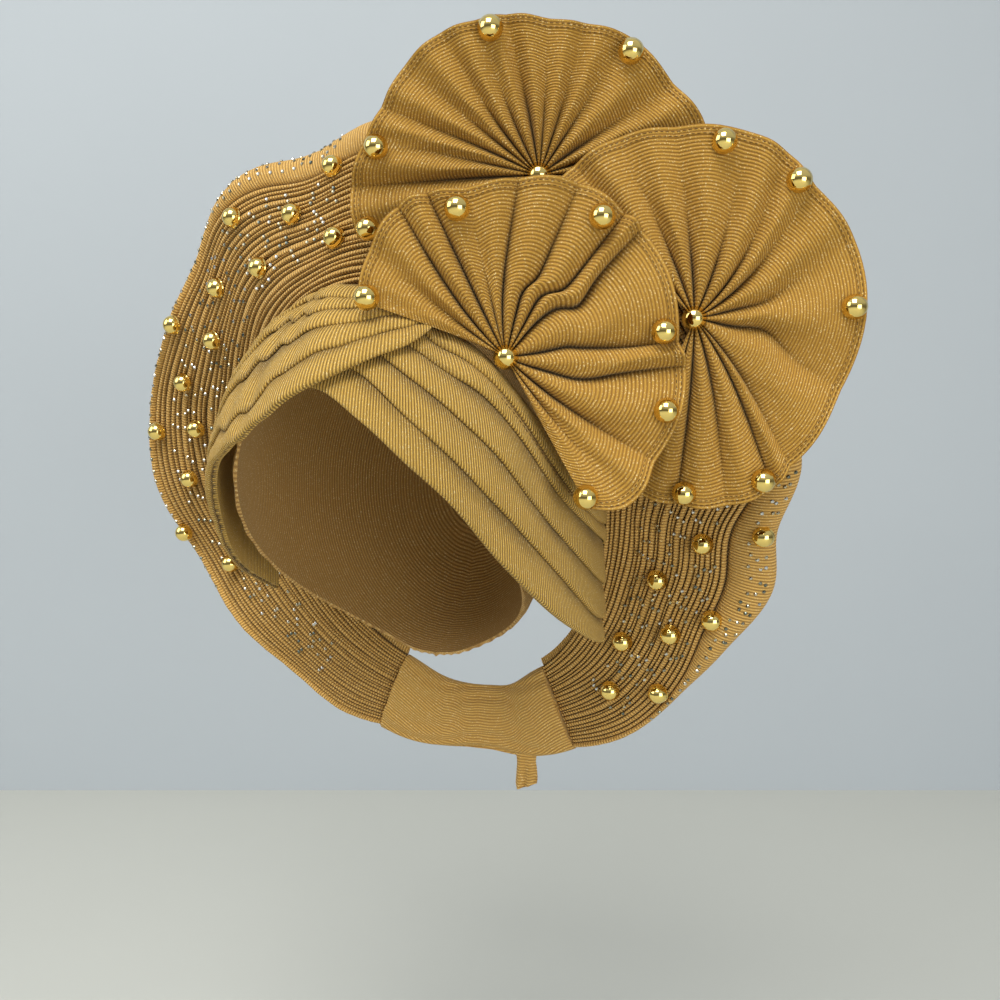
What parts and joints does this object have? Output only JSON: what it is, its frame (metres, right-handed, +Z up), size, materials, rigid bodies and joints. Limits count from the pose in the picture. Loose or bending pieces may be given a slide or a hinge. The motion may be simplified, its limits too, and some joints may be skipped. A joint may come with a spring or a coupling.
{
  "type": "tied gele head tie",
  "caption": "Ready-tied gele head tie: pleated round brim with a scalloped flange, crossed forehead pleats, gathered cloth rosettes, gold-coloured domes.",
  "frame": {"origin": "middle of the head room at its widest level, just above the brow: where the head sits", "axes": "+Z up, the face looks along -Y, +X is the wearer's left, where the rosettes are"},
  "size_m": [0.4475, 0.2194, 0.4175],
  "materials": {
    "ribbed_cloth": "mustard-gold corded cloth, matt with a fine sparkle",
    "rosette_cloth": "the same corded cloth in one layer, slightly warmer",
    "cap_cloth": "plain cloth, matt",
    "gold_dome": "bright gold-coloured plating"
  },
  "bodies": {
    "root": {"crown_cap": "cap_cloth", "right_wing": "ribbed_cloth", "left_wing": "ribbed_cloth", "halo": "ribbed_cloth", "nape_band": "ribbed_cloth", "tie_end": "ribbed_cloth", "rosette_top": "rosette_cloth", "rosette_side": "rosette_cloth", "rosette_front": "rosette_cloth", "stud_01": "gold_dome", "stud_02": "gold_dome", "stud_03": "gold_dome", "stud_04": "gold_dome", "stud_05": "gold_dome", "stud_06": "gold_dome", "stud_07": "gold_dome", "stud_08": "gold_dome", "stud_09": "gold_dome", "stud_10": "gold_dome", "stud_11": "gold_dome", "stud_12": "gold_dome", "stud_13": "gold_dome", "stud_14": "gold_dome", "stud_15": "gold_dome", "stud_16": "gold_dome", "stud_17": "gold_dome", "stud_18": "gold_dome", "stud_19": "gold_dome", "stud_20": "gold_dome", "stud_21": "gold_dome", "stud_22": "gold_dome", "stud_23": "gold_dome", "stud_24": "gold_dome", "stud_25": "gold_dome", "stud_26": "gold_dome", "stud_27": "gold_dome", "stud_28": "gold_dome", "stud_29": "gold_dome", "stud_30": "gold_dome", "stud_31": "gold_dome", "stud_32": "gold_dome", "stud_33": "gold_dome", "stud_34": "gold_dome", "stud_35": "gold_dome", "stud_36": "gold_dome", "stud_37": "gold_dome", "stud_38": "gold_dome", "stud_39": "gold_dome", "stud_40": "gold_dome"}
  },
  "joints": []
}
